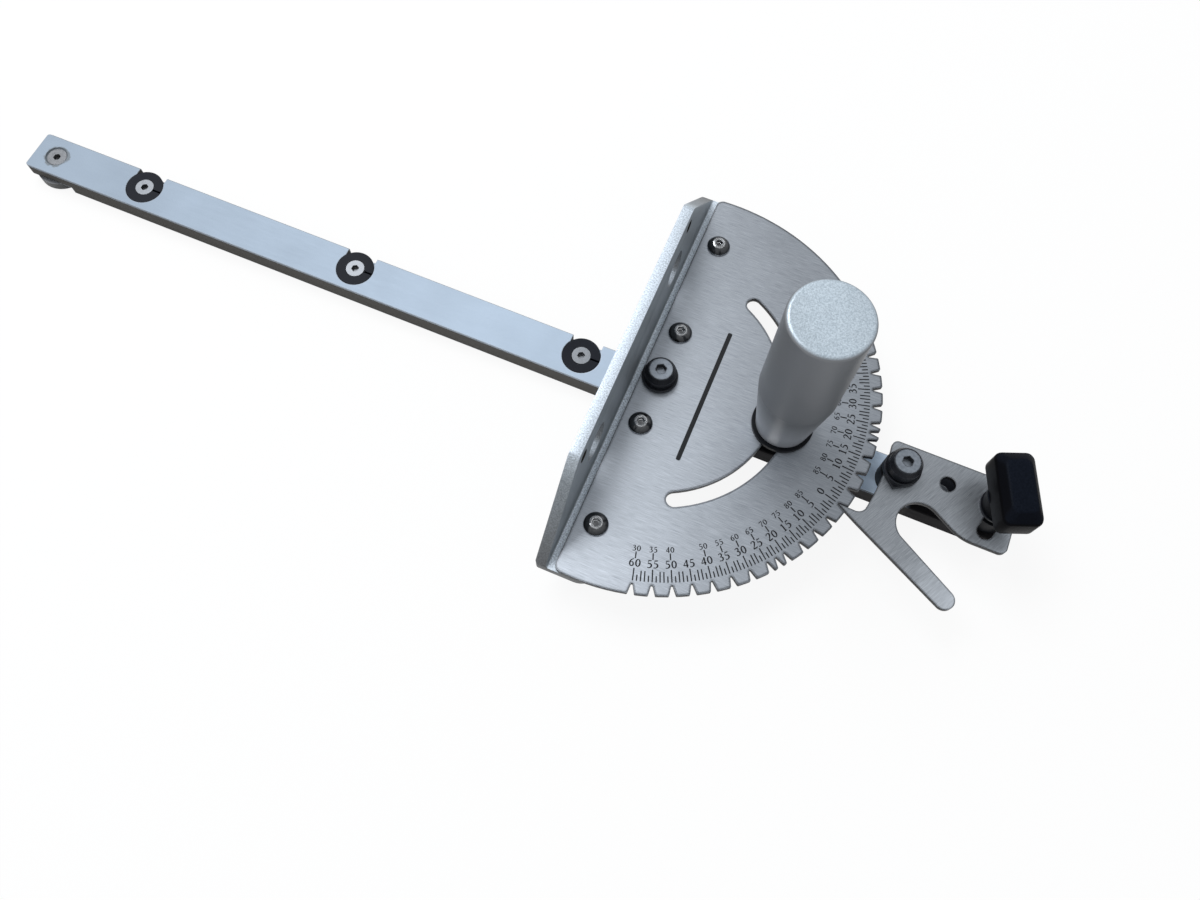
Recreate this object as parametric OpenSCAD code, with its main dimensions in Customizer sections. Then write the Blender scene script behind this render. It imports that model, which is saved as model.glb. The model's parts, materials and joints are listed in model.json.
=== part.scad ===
// Miter gauge for a table saw: a bar that slides in the table slot, a notched
// protractor head with a fence bracket, an index lever and two clamping knobs.
// Frame: X runs along the bar toward the handle, Z is up, and the origin lies
// on the bar's underside beneath the head pivot. Lengths are millimetres.

/* [Bar] */
// Width of the bar, which suits a 3/4 inch slot
bar_w = 19.05; // [18.6:0.05:22]
// Thickness of the bar
bar_t = 9.5; // [9:0.1:12]
// Length of the bar ahead of the head pivot
bar_front = 306.9; // [295:0.1:330]
// How far the bar's rear end stays inside the lever's
bar_short = 0.8; // [0:0.1:4]
// Corner radius of the bar's ends, seen from above
bar_corner_r = 2.4; // [1:0.1:4]
// Break on all edges of the bar
bar_edge = 0.4; // [0.2:0.1:0.8]
// Depth of the step cut in the underside at the front end
relief_depth = 4.0; // [3.6:0.1:4.6]

/* [Retaining washer] */
// Diameter of the washer that keeps the bar down in a T slot
retainer_d = 22.6; // [20:0.1:24]
// Distance of its screw from the front end of the bar
retainer_inset = 10.8; // [8:0.1:11]
// How far the washer stays above the underside of the bar
retainer_lift = 0.2; // [0.1:0.1:0.5]
// Gap between the washer and the end of its step
retainer_gap = 0.3; // [0.2:0.1:2]

/* [Expansion discs] */
// Diameter of a disc
disc_d = 16.4; // [15:0.1:17]
// Thickness of a disc
disc_t = 4.8; // [4:0.1:6]
// How far a disc stands proud of the bar's side
disc_proud = 0.15; // [0.05:0.05:0.4]
// Width of the slit that lets a disc spread
disc_slit = 0.9; // [0.5:0.1:1.5]
// Gap around a disc in its pocket
pocket_gap = 0.2; // [0.1:0.05:0.3]
// Width of the window through which a disc reaches the bar's side
window_w = 14; // [11:0.1:14.6]
// First disc, along the bar from the head pivot
disc_1_x = -250.5; // [-260:0.1:-240]
// Second disc
disc_2_x = -143.7; // [-155:0.1:-130]
// Third disc
disc_3_x = -35.7; // [-45:0.1:-25]
// Fourth disc, behind the lever's pivot
disc_4_back = 19; // [17.5:0.1:21.5]

/* [Protractor head] */
// Gap between the bar and the fence bracket
head_gap = 4.3; // [3:0.1:7]
// Thickness of the protractor plate and of the index lever
plate_t = 2; // [1.6:0.1:3]
// Radius of the notched rim
rim_r = 91.8; // [84:0.1:100]
// Depth of a notch
notch_depth = 4.1; // [3.8:0.1:4.5]
// Full angle of a notch
notch_angle = 30; // [28:1:34]
// Radius at the bottom of a notch
notch_root_r = 0.4; // [0.3:0.05:0.5]
// Rounding where a notch meets the rim
notch_lip_r = 0.5; // [0.3:0.1:0.8]
// Angle between notches
notch_step = 5; // [5:1:6]
// The head turns this far to each side
head_range = 60; // [45:5:60]
// Extra notch on each side, for eight sided work
odd_notch = 22.5; // [22:0.5:23]
// The notch in use lies this far clockwise of the bar
index_angle = 15.43; // [15:0.01:16]
// Distance from the pivot to the straight edge of the plate
plate_edge = 7.75; // [7:0.1:8.5]
// Corner radius of the plate
plate_corner_r = 3; // [1:0.5:5]
// Radius of the arc slot's middle line
slot_r = 53.3; // [52:0.1:56]
// Width of the arc slot
slot_w = 6.3; // [6.2:0.1:7]
// Angle that the slot runs on past the head's range
slot_overrun = 2.5; // [1:0.5:3]

/* [Fence bracket] */
// Thickness of both legs
fence_t = 4.5; // [4:0.1:5]
// How far each end of the bracket stays inside the rim
fence_trim = 0.1; // [0:0.1:1]
// Distance from the pivot to the front face
fence_face = 15.4; // [15:0.1:17]
// Width of the lower leg
fence_leg = 25; // [23:0.5:28]
// Height of the bracket
fence_h = 41.5; // [40:0.1:49]
// Half length of the level top edge
fence_top_half = 58.5; // [56:0.1:64]
// Rounding of the upper corners
fence_corner_r = 4; // [1:0.5:8]
// Diameter of the two large holes
large_hole_d = 16; // [10:0.5:18]
// Their distance from the middle
large_hole_y = 42; // [40:0.5:43]
// Their height above the foot of the bracket
large_hole_z = 20.5; // [19:0.1:22]
// Diameter of the two holes for a wooden fence's screws
small_hole_d = 5; // [4:0.1:6]
// Their distance from the middle
small_hole_y = 54.5; // [54:0.5:56]
// Their height above the foot of the bracket
small_hole_z = 34.2; // [33:0.1:35]

/* [Plate screws] */
// Diameter of a button head
button_d = 9.9; // [8:0.1:10.5]
// Height of a button head
button_h = 2.9; // [2.4:0.1:3.2]
// Distance of the screws from the pivot line along the bar
button_x = 0.4; // [0:0.1:1]
// Inner pair, from the middle
button_y_in = 22.4; // [20:0.1:26]
// Outer pair, from the middle
button_y_out = 68.7; // [66:0.1:72]

/* [Pivots] */
// Diameter of the neck on which the head and the lever turn
neck_d = 10; // [9.5:0.1:11]
// Running clearance on the radius of that neck
neck_gap = 0.05; // [0.02:0.01:0.09]
// Diameter of the flange over the head
head_flange_d = 15; // [14:0.1:17]
// Height of the head pivot above the plate
head_pivot_h = 7.6; // [6.5:0.1:9]
// Diameter of the flange over the lever
lever_flange_d = 15.2; // [14.4:0.1:16]
// Distance of that flange's pointed corner from its axis
lever_point = 9.35; // [8.6:0.05:10.5]
// Direction of that corner
lever_point_dir = -96; // [-120:1:-60]
// Height of the lever pivot above the lever
lever_pivot_h = 9.6; // [8.4:0.1:11]
// Diameter of the spacers beneath the plates
spacer_d = 15.2; // [14:0.1:18]

/* [Index lever] */
// Distance of the lever's pivot from the rim
lever_gap = 11.7; // [11.2:0.1:12.2]
// Length of the lever behind its pivot
lever_tail = 47.6; // [46.5:0.1:49]
// Far side of the lever
lever_far = 11.6; // [10.5:0.1:13]
// Near side of the lever
lever_near = 18.35; // [17.5:0.05:19.5]
// Gap between the rim and the lever
rim_gap = 5.8; // [5.4:0.1:6]
// The lever swings out this far
lever_swing = 17; // [15:0.5:17]
// Full angle of the tooth
tooth_angle = 26; // [24:0.5:26]
// Distance of the tooth's tip from the bottom of the notch
tip_gap = 0.45; // [0.4:0.05:0.7]
// Tip radius of the tooth
tip_r = 0.2; // [0.15:0.05:0.3]
// Angle of the finger grip to the bar
finger_angle = 30; // [29:0.5:31]
// Width of the finger grip at its root
finger_w = 10.3; // [9.5:0.1:11]
// Angle by which the finger grip narrows toward its end
finger_taper = 3; // [1:0.5:4]
// Reach of the finger grip beyond the lever's near side
finger_reach = 25.9; // [23:0.1:28]
// Width of the gap behind the finger grip
finger_gap = 18; // [17:0.1:18.4]
// Distance of that gap's round end from the middle of the bar
gap_near = 19.3; // [18.8:0.1:19.8]
// Diameter of the hole over the fourth disc's screw
access_d = 6.2; // [6:0.1:7]
// Rounding between that gap and the lever's near side
gap_corner_r = 19; // [6:0.5:20]
// Radius of the lock slot, about the lever's pivot
lock_r = 39.5; // [38:0.1:40]
// Width of the lock slot
lock_slot_w = 6.3; // [6.2:0.1:7]

/* [Handle] */
// Diameter of the handle
handle_d = 30.8; // [26:0.1:34]
// Height of the handle with its washer
handle_h = 87.4; // [70:0.1:100]
// Diameter of the foot
handle_foot_d = 22.3; // [20:0.1:24]
// Height of the tapered foot above the washer
taper_h = 33.2; // [26:0.1:40]
// Rounding of the top edge
handle_edge_r = 1.6; // [1:0.1:3]
// Diameter of the washer beneath it
clamp_washer_d = 25.2; // [23:0.1:27]
// Thickness of that washer
clamp_washer_t = 1.6; // [1:0.1:2.5]

/* [Lock knob] */
// Length of the knob
knob_len = 29.4; // [26:0.1:32]
// Width of the knob
knob_w = 15.4; // [14:0.1:17]
// Length of its top face
knob_top_len = 20.8; // [16:0.1:24]
// Width of its top face
knob_top_w = 9.8; // [8:0.1:12]
// Height of the hub beneath the grip
hub_h = 11; // [8:0.1:13]
// Height at which the grip begins to narrow
shoulder_h = 21.5; // [18:0.1:22]
// Height of the knob above the lever
knob_h = 25.2; // [24:0.1:28]
// Direction of the knob at rest
knob_turn = -68; // [-90:1:90]

/* [Hidden] */
$fn = 96;

// Levels of the stack above the bar
flange_z = bar_t + head_gap;
plate_z = flange_z + fence_t;
top_z = plate_z + plate_t;

// Screws and studs
m4_r = 2;
m5_r = 2.5;
m6_r = 3;
thread_gap = 0.1;
blind_floor = 1.4;
head_rim = 0.3;
socket_3 = 3;
socket_4 = 4;
button_rim_h = 0.5;
button_flat_r = 2.4;
button_socket = 1.8;
button_short = 0.3;
over = 1;
// Rounding circles are larger by this much, so that they cross the lines that
// they are tangent to instead of touching them
ease = 0.002;

// Places that follow from the rim
lever_x = rim_r + lever_gap;
lever_rear = lever_x + lever_tail;
bar_rear = lever_rear - bar_short;
fence_len = 2 * (rim_r - fence_trim);

// Discs
disc_r = disc_d / 2;
disc_x = [disc_1_x, disc_2_x, disc_3_x, lever_x + disc_4_back];
disc_y = bar_w / 2 + disc_proud - disc_r;
disc_head_r = 4;
disc_seat_gap = 0.1;

// Retaining washer
retainer_x = retainer_inset - bar_front;
retainer_t = relief_depth - retainer_lift;
relief_len = retainer_inset + retainer_d / 2 + retainer_gap;
retainer_head_r = 4.4;
retainer_sink = 0.5;

// Notched rim: the bottom of each notch is an arc about notch_c
root_r = rim_r - notch_depth;
notch_c = root_r + notch_root_r;
half_notch = notch_angle / 2;
notch_list = [for (a = [-head_range : notch_step : head_range]) a, -odd_notch, odd_notch];
reach_r = rim_r + 4;
notch_half_w = notch_root_r / cos(half_notch) + (rim_r - notch_c) * tan(half_notch);
slot_half_angle = head_range + slot_overrun;

// Inside radius of the bracket's bend
bend_r = 1.2;

// Pivots
neck_r = neck_d / 2;
pivot_play = 0.1;
groove_r = 6.2;
head_body_r = 6.45;
lever_body_r = 6.6;
head_crown_r = 5.2;
lever_crown_r = 5.45;
crown_wall = 0.25;
crown_slope = 1.8;
groove_h = 0.4;
bush_break = 0.3;
head_flange_h = 1.7;
lever_flange_h = 2.8;
lever_point_h = 1.6;

// Index lever: the tooth's near flank meets the finger's outer side at flank_end
half_tooth = tooth_angle / 2;
tip_c = root_r + tip_gap + tip_r;
lever_arc_r = rim_r + rim_gap;
index_dir = dir(-index_angle);
near_dir = dir(-index_angle - half_tooth);
near_n = [near_dir[1], -near_dir[0]];
far_dir = dir(-index_angle + half_tooth);
far_n = [-far_dir[1], far_dir[0]];
near_tip = tip_c * index_dir + tip_r * near_n;
far_tip = tip_c * index_dir + tip_r * far_n;
near_d = near_n * near_tip;
flank_end = near_d * near_n + sqrt(lever_arc_r * lever_arc_r - near_d * near_d) * near_dir;
finger_dir = dir(-finger_angle);
finger_n = [-finger_dir[1], finger_dir[0]];
outer_dir = dir(finger_taper - finger_angle);
outer_n = [-outer_dir[1], outer_dir[0]];
finger_outer = finger_n * flank_end;
finger_inner = finger_outer + finger_w;
gap_lap = 0.05;
gap_r = finger_gap / 2 + gap_lap;
gap_mid = finger_inner + finger_gap / 2;
gap_end = on_line(finger_n, gap_mid, -gap_near);
gap_side = gap_mid + gap_r;
// The finger's round end touches both of its sides
finger_end = on_line(finger_n + outer_n, finger_inner + outer_n * flank_end,
    -lever_near - finger_reach);
finger_end_r = finger_inner - finger_n * finger_end;
lever_corner_r = 3;
lever_lap = 4;
corner_fillet_r = 2.5;
tooth_fillet_r = 3.9;
fillet_lap = 0.4;
lock_x = lever_x + lock_r;
lock_slot_play = 0.6;
lock_slot_out = 3;

// Clamping parts
stud_rise = 46;
stud_tip = 1;
bore_spare = 2;
handle_bore_gap = 0.08;
foot_break = 0.5;
lock_washer_r = 7.2;
lock_washer_t = 1;
hub_foot_r = 6.6;
hub_top_r = 8.2;
insert_r = 4.5;
insert_h = 11;
insert_gap = 0.03;
lock_stud_rise = 13;
knob_corner_r = 3;

steel = "#9a9ea3";
bright_steel = "#d5d8db";
black_plastic = "#1b1c1e";
black_oxide = "#2b2c2e";
clear_anodised = "#c3ccd6";

// Direction at an angle to the bar
function dir(a) = [cos(a), sin(a)];

// Point with this y on the line whose points p all have n * p = d
function on_line(n, d, y) = [(d - n[1] * y) / n[0], y];

// Rectangle with rounded corners
module rounded_rect(x0, x1, y0, y1, r) {
    translate([x0 + r, y0])
        square([x1 - x0 - 2 * r, y1 - y0]);
    translate([x0, y0 + r])
        square([x1 - x0, y1 - y0 - 2 * r]);
    for (x = [x0 + r, x1 - r], y = [y0 + r, y1 - r])
        translate([x, y])
            circle(r = r);
}

// Rectangle with its four corners cut off at 45 degrees
module broken_rect(w, h, c) {
    polygon([[-w / 2 + c, 0], [w / 2 - c, 0], [w / 2, c], [w / 2, h - c],
        [w / 2 - c, h], [-w / 2 + c, h], [-w / 2, h - c], [-w / 2, c]]);
}

// Flat ring standing on z = 0
module ring(outer_r, inner_r, h) {
    difference() {
        cylinder(r = outer_r, h = h);
        translate([0, 0, -over])
            cylinder(r = inner_r, h = h + 2 * over);
    }
}

// Hexagon socket sunk from z = 0
module hex_socket(size, depth) {
    translate([0, 0, -depth])
        rotate([0, 0, 30])
            cylinder(d = size / cos(30), h = depth + over, $fn = 6);
}

// Countersunk screw with its flat top at z = 0
module countersunk_screw(head_r, shank_r, length, socket) {
    chamfer = shank_r / 4;
    difference() {
        rotate_extrude()
            polygon([[0, -length], [shank_r - chamfer, -length],
                [shank_r, chamfer - length], [shank_r, shank_r - head_r - head_rim],
                [head_r, -head_rim], [head_r, 0], [0, 0]]);
        hex_socket(socket, head_r * 0.5);
    }
}

// Space for a countersunk screw: a cone from z = 0 and a hole below it
module countersink(head_r, hole_r, depth) {
    rotate_extrude()
        polygon([[0, -depth], [hole_r, -depth], [hole_r, hole_r - head_r - head_rim],
            [head_r, -head_rim], [head_r, over], [0, over]]);
}

// Screw with a domed head and its seat at z = 0
module button_screw(shank_r, length) {
    head_r = button_d / 2;
    dome_z = (pow(button_flat_r, 2) + pow(button_h, 2) - pow(head_r, 2) - pow(button_rim_h, 2))
        / (2 * (button_h - button_rim_h));
    dome_r = sqrt(pow(head_r, 2) + pow(button_rim_h - dome_z, 2));
    difference() {
        union() {
            intersection() {
                translate([0, 0, dome_z])
                    sphere(r = dome_r);
                cylinder(r = head_r, h = button_h);
            }
            translate([0, 0, -length])
                cylinder(r = shank_r, h = length + button_rim_h);
        }
        translate([0, 0, button_h])
            hex_socket(socket_3, button_socket);
    }
}

// Arc shaped slot about the origin, from angle a0 to angle a1
module arc_slot(r, w, a0, a1, h) {
    rotate([0, 0, a0])
        rotate_extrude(angle = a1 - a0)
            translate([r - w / 2, 0])
                square([w, h]);
    for (a = [a0, a1])
        rotate([0, 0, a])
            translate([r, 0, 0])
                cylinder(d = w + 2 * ease, h = h);
}

// Stud with chamfered ends, standing on z = 0
module stud(r, h) {
    rotate_extrude()
        polygon([[0, 0], [r - stud_tip / 2, 0], [r, stud_tip / 2], [r, h - stud_tip / 2],
            [r - stud_tip / 2, h], [0, h]]);
}

// Pivot bush: neck through the plate, flange, groove and a crown for the screw.
// The plate's top is z = 0.
module pivot_bush(neck_h, flange_r, flange_h, body_r, crown_r, total_h) {
    seat_r = crown_r - crown_wall;
    bore_r = m6_r + thread_gap;
    slope_z = total_h - crown_slope * (body_r - crown_r);
    rotate_extrude()
        polygon([[bore_r, -neck_h], [neck_r, -neck_h], [neck_r, pivot_play],
            [flange_r - bush_break, pivot_play], [flange_r, pivot_play + bush_break],
            [flange_r, flange_h - bush_break], [flange_r - bush_break, flange_h],
            [groove_r, flange_h], [groove_r, flange_h + groove_h],
            [body_r, flange_h + groove_h], [body_r, slope_z], [crown_r, total_h],
            [seat_r, total_h], [seat_r, total_h - head_rim],
            [bore_r, total_h - head_rim - seat_r + bore_r]]);
}

// Screw of a pivot bush, with its top flush with the crown
module pivot_screw(crown_r, total_h) {
    translate([0, 0, top_z + total_h])
        countersunk_screw(crown_r - crown_wall - disc_seat_gap, m6_r,
            top_z + total_h - blind_floor - thread_gap, socket_4);
}

module miter_bar() {
    bar_len = bar_front + bar_rear;
    mid_x = (bar_rear - bar_front) / 2;
    color(clear_anodised)
        difference() {
            intersection() {
                linear_extrude(bar_t)
                    rounded_rect(-bar_front, bar_rear, -bar_w / 2, bar_w / 2, bar_corner_r);
                translate([-bar_front - over, 0, 0])
                    rotate([90, 0, 90])
                        linear_extrude(bar_len + 2 * over)
                            broken_rect(bar_w, bar_t, bar_edge);
                translate([mid_x, bar_w / 2 + over, 0])
                    rotate([90, 0, 0])
                        linear_extrude(bar_w + 2 * over)
                            broken_rect(bar_len, bar_t, bar_edge);
            }
            translate([-bar_front - over, -bar_w / 2 - over, -over])
                cube([relief_len + over, bar_w + 2 * over, relief_depth + over]);
            translate([retainer_x, 0, bar_t])
                countersink(retainer_head_r + retainer_sink, m5_r + thread_gap, bar_t);
            for (x = disc_x)
                translate([x, disc_y, 0])
                    disc_pocket();
            for (x = [0, slot_r, lever_x, lock_x])
                translate([x, 0, blind_floor])
                    cylinder(r = m6_r + thread_gap, h = bar_t);
        }
}

// Round pocket for a disc, its window in the bar's side and the screw hole
module disc_pocket() {
    translate([0, 0, bar_t - disc_t]) {
        cylinder(r = disc_r + pocket_gap, h = disc_t + over);
        translate([-window_w / 2, 0, 0])
            cube([window_w, bar_w, disc_t + over]);
    }
    translate([0, 0, blind_floor])
        cylinder(r = m4_r + thread_gap, h = bar_t);
}

module expansion_disc(i) {
    color(black_plastic)
        translate([disc_x[i], disc_y, bar_t])
            difference() {
                translate([0, 0, -disc_t])
                    cylinder(r = disc_r, h = disc_t);
                countersink(disc_head_r + disc_seat_gap, m4_r + thread_gap, disc_t + over);
                translate([0, -disc_slit / 2, -disc_t - over])
                    cube([disc_d, disc_slit, disc_t + 2 * over]);
            }
}

module disc_screw(i) {
    color(bright_steel)
        translate([disc_x[i], disc_y, bar_t])
            countersunk_screw(disc_head_r, m4_r, bar_t - blind_floor - thread_gap, socket_3);
}

module retaining_washer() {
    color(black_oxide)
        translate([retainer_x, 0, retainer_lift])
            ring(retainer_d / 2, m5_r + thread_gap, retainer_t);
}

module retaining_screw() {
    color(black_oxide)
        translate([retainer_x, 0, bar_t - retainer_sink])
            countersunk_screw(retainer_head_r, m5_r,
                bar_t - retainer_sink - 2 * retainer_lift, socket_3);
}

module head_spacer() {
    color(black_plastic)
        translate([0, 0, bar_t])
            ring(spacer_d / 2, m6_r + thread_gap, head_gap);
}

// Spacer as high as the fence bracket's underside and its lower leg
module tall_spacer(x) {
    color(black_plastic)
        translate([x, 0, bar_t])
            ring(spacer_d / 2, m6_r + thread_gap, plate_z - bar_t);
}

module clamp_spacer() tall_spacer(slot_r);
module lever_spacer() tall_spacer(lever_x);
module lock_spacer() tall_spacer(lock_x);

module head_pivot_bush() {
    color(black_oxide)
        translate([0, 0, top_z])
            pivot_bush(plate_t + fence_t, head_flange_d / 2, head_flange_h, head_body_r,
                head_crown_r, head_pivot_h);
}

module head_pivot_screw() {
    color(steel)
        pivot_screw(head_crown_r, head_pivot_h);
}

// The lever's bush has a flange with one pointed corner
module lever_pivot_bush() {
    color(black_oxide)
        translate([lever_x, 0, top_z]) {
            pivot_bush(plate_t, lever_flange_d / 2, lever_flange_h, lever_body_r, lever_crown_r,
                lever_pivot_h);
            translate([0, 0, pivot_play])
                linear_extrude(lever_point_h)
                    rotate(lever_point_dir)
                        flange_point(lever_flange_d / 2 - ease);
        }
}

// Corner between two tangents to a circle of radius r, pointing along +X
module flange_point(r) {
    touch = acos(r / lever_point);
    inner = 0.6 * r;
    polygon([inner * dir(-touch), r * dir(-touch), [lever_point, 0], r * dir(touch),
        inner * dir(touch)]);
}

module lever_pivot_screw() {
    color(steel)
        translate([lever_x, 0, 0])
            pivot_screw(lever_crown_r, lever_pivot_h);
}

module clamp_stud() {
    color(steel)
        translate([slot_r, 0, blind_floor + thread_gap])
            stud(m6_r, top_z + stud_rise - blind_floor);
}

module lock_stud() {
    color(steel)
        translate([lock_x, 0, blind_floor + thread_gap])
            stud(m6_r, top_z + lock_stud_rise - blind_floor);
}

// One notch, pointing along +X: round bottom, straight flanks and eased lips
module notch() {
    far = reach_r - notch_c;
    root_x = notch_c - notch_root_r * sin(half_notch);
    root_y = notch_root_r * cos(half_notch);
    far_y = notch_root_r / cos(half_notch) + far * tan(half_notch);
    translate([notch_c, 0])
        circle(r = notch_root_r + ease, $fn = 24);
    polygon([[root_x, -root_y], [root_x, root_y], [reach_r, far_y], [reach_r, -far_y]]);
    for (s = [-1, 1])
        notch_lip(s);
}

// Waste outside the rounded lip of a notch; s picks the side
module notch_lip(s) {
    flank_d = notch_root_r + notch_lip_r;
    lip_y = flank_d / cos(half_notch);
    lip_x = lip_centre_x(flank_d);
    centre = [lip_x, (lip_x - notch_c) * tan(half_notch) + lip_y];
    on_flank = centre + notch_lip_r * [sin(half_notch), -cos(half_notch)];
    on_rim = centre * (rim_r / (rim_r - notch_lip_r));
    difference() {
        polygon([for (p = [centre, on_flank, [rim_r + 1, notch_half_w], on_rim]) [p[0], s * p[1]]]);
        translate([centre[0], s * centre[1]])
            circle(r = notch_lip_r + ease, $fn = 24);
    }
}

// X of the middle of a lip's rounding, which lies notch_lip_r inside the rim and
// on a parallel to the flank, at distance d from notch_c
function lip_centre_x(d) =
    let (k = tan(half_notch),
        c = d / cos(half_notch) - notch_c * k,
        r = rim_r - notch_lip_r)
    (-k * c + sqrt(k * k * c * c - (1 + k * k) * (c * c - r * r))) / (1 + k * k);

// Waste outside the rounded corner between the straight edge and the rim
module plate_corner(s) {
    cx = plate_corner_r - plate_edge;
    cy = sqrt(pow(rim_r - plate_corner_r, 2) - cx * cx);
    on_rim = [cx, cy] * (rim_r / (rim_r - plate_corner_r));
    difference() {
        polygon([for (p = [[cx, cy], [-plate_edge - over, cy], [-plate_edge - over, rim_r + over],
            [cx, rim_r + over], on_rim]) [p[0], s * p[1]]]);
        translate([cx, s * cy])
            circle(r = plate_corner_r + ease);
    }
}

module protractor_plate() {
    color(bright_steel)
        translate([0, 0, plate_z])
            difference() {
                linear_extrude(plate_t)
                    difference() {
                        intersection() {
                            circle(r = rim_r, $fn = 360);
                            translate([-plate_edge, -rim_r])
                                square([rim_r + plate_edge, 2 * rim_r]);
                        }
                        for (s = [-1, 1])
                            plate_corner(s);
                        for (a = notch_list)
                            rotate(a - index_angle)
                                notch();
                    }
                translate([0, 0, -over])
                    arc_slot(slot_r, slot_w, -slot_half_angle, slot_half_angle, plate_t + 2 * over);
                translate([0, 0, -over])
                    cylinder(r = neck_r + neck_gap, h = plate_t + 2 * over);
                plate_screw_holes(-over, plate_t + 2 * over);
            }
}

module plate_screw_holes(z, h) {
    for (y = [-button_y_out, -button_y_in, button_y_in, button_y_out])
        translate([button_x, y, z])
            cylinder(r = m5_r + thread_gap, h = h);
}

// Face outline of the bracket, with its ends sloping down to the lower leg
module fence_outline() {
    half = fence_len / 2;
    difference() {
        polygon([[-half, 0], [half, 0], [half, fence_t], [fence_top_half, fence_h],
            [-fence_top_half, fence_h], [-half, fence_t]]);
        for (s = [-1, 1])
            fence_corner(s);
    }
}

// Waste outside the rounding where the top edge meets a sloping end
module fence_corner(s) {
    run = fence_len / 2 - fence_top_half;
    slope = atan2(fence_h - fence_t, run);
    set_back = fence_corner_r * tan(slope / 2);
    cy = fence_top_half - set_back;
    cz = fence_h - fence_corner_r;
    on_slope = [cy + fence_corner_r * sin(slope), cz + fence_corner_r * cos(slope)];
    difference() {
        polygon([for (p = [[cy, cz], [cy, fence_h], [cy, fence_h + over],
            [fence_top_half + over, fence_h + over], on_slope]) [s * p[0], p[1]]]);
        translate([s * cy, cz])
            circle(r = fence_corner_r + ease);
    }
}

module fence_bracket() {
    bend_x = fence_t - fence_face;
    color("#8d949c")
        translate([0, 0, flange_z])
            difference() {
                intersection() {
                    rotate([90, 0, 0])
                        translate([0, 0, -fence_len / 2])
                            linear_extrude(fence_len)
                                difference() {
                                    union() {
                                        translate([-fence_face, 0])
                                            square([fence_leg, fence_t]);
                                        translate([-fence_face, 0])
                                            square([fence_t, fence_h]);
                                        translate([bend_x, fence_t])
                                            square(bend_r);
                                    }
                                    translate([bend_x + bend_r, fence_t + bend_r])
                                        circle(r = bend_r);
                                }
                    translate([-fence_face - over, 0, 0])
                        rotate([90, 0, 90])
                            linear_extrude(fence_leg + 2 * over)
                                fence_outline();
                }
                for (s = [-1, 1]) {
                    translate([-fence_face - over, s * large_hole_y, large_hole_z])
                        rotate([0, 90, 0])
                            cylinder(d = large_hole_d, h = fence_t + 2 * over);
                    translate([-fence_face - over, s * small_hole_y, small_hole_z])
                        rotate([0, 90, 0])
                            cylinder(d = small_hole_d, h = fence_t + 2 * over);
                }
                translate([0, 0, -over])
                    cylinder(r = neck_r + neck_gap, h = fence_t + 2 * over);
                plate_screw_holes(-over, fence_t + 2 * over);
            }
}

module plate_screw(i) {
    y = [-button_y_out, -button_y_in, button_y_in, button_y_out];
    color(black_oxide)
        translate([button_x, y[i], top_z])
            button_screw(m5_r, plate_t + fence_t - button_short);
}

// Body of the lever from the rim to the rear end, and the web toward the tooth
module lever_body() {
    inner_x = lever_arc_r - lever_lap;
    rounded_rect(inner_x, lever_rear, -lever_near, lever_far, lever_corner_r);
    polygon([(lever_arc_r - 1.5 * lever_lap) * index_dir,
        flank_end + finger_w / 2 * (finger_n + 2 * finger_dir),
        gap_end - (finger_gap + finger_w) / 2 * finger_n, gap_end, [gap_end[0], 0], [inner_x, 0]]);
}

// Gap behind the finger: a round end and straight sides, open at the other end
module finger_gap() {
    translate(gap_end) {
        circle(r = gap_r);
        rotate(-finger_angle)
            translate([0, -gap_r])
                square([lever_rear - gap_end[0] + finger_gap, 2 * gap_r]);
    }
}

// Waste outside the rounding between the finger gap and the near side
module gap_corner() {
    corner = on_line(finger_n, gap_side, -lever_near);
    centre = corner + [gap_corner_r * tan(finger_angle / 2), gap_corner_r];
    difference() {
        polygon([centre, centre - (gap_corner_r + over) * finger_n,
            corner - [0, over], [centre[0], -lever_near - over]]);
        translate(centre)
            circle(r = gap_corner_r + ease);
    }
}

// Waste outside the rounding between the lever's front arc and its far side
module front_corner() {
    cy = lever_far - corner_fillet_r;
    cx = sqrt(pow(lever_arc_r + corner_fillet_r, 2) - cy * cy);
    on_arc = [cx, cy] * ((lever_arc_r - over) / (lever_arc_r + corner_fillet_r));
    difference() {
        polygon([[cx, cy], on_arc, [on_arc[0], lever_far + over], [cx, lever_far + over]]);
        translate([cx, cy])
            circle(r = corner_fillet_r + ease);
    }
}

// Tooth with its round tip, and the finger grip that carries its near flank on
module tooth_and_finger() {
    translate(tip_c * index_dir)
        circle(r = tip_r + ease, $fn = 24);
    polygon([far_tip, near_tip, flank_end, flank_end + finger_w / 2 * (finger_n + finger_dir),
        far_tip + (lever_arc_r + lever_lap - tip_c) * far_dir]);
    polygon([flank_end, finger_end - finger_end_r * outer_n, finger_end + finger_end_r * finger_n,
        gap_end - finger_gap / 2 * finger_n - finger_w * finger_dir]);
    translate(finger_end)
        circle(r = finger_end_r + ease);
}

// Fillet between the tooth's far flank and the lever's front arc
module tooth_fillet() {
    d = far_n * far_tip + tooth_fillet_r;
    r = lever_arc_r - tooth_fillet_r;
    centre = d * far_n + sqrt(r * r - d * d) * far_dir;
    difference() {
        polygon([centre, centre - (tooth_fillet_r + fillet_lap) * far_n,
            centre - (tooth_fillet_r + fillet_lap) * far_n + lever_lap * far_dir,
            centre * ((lever_arc_r + fillet_lap) / r)]);
        translate(centre)
            circle(r = tooth_fillet_r + ease);
    }
}

module lever_outline() {
    difference() {
        lever_body();
        circle(r = lever_arc_r, $fn = 360);
        finger_gap();
        gap_corner();
        front_corner();
    }
    tooth_and_finger();
    tooth_fillet();
}

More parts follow.
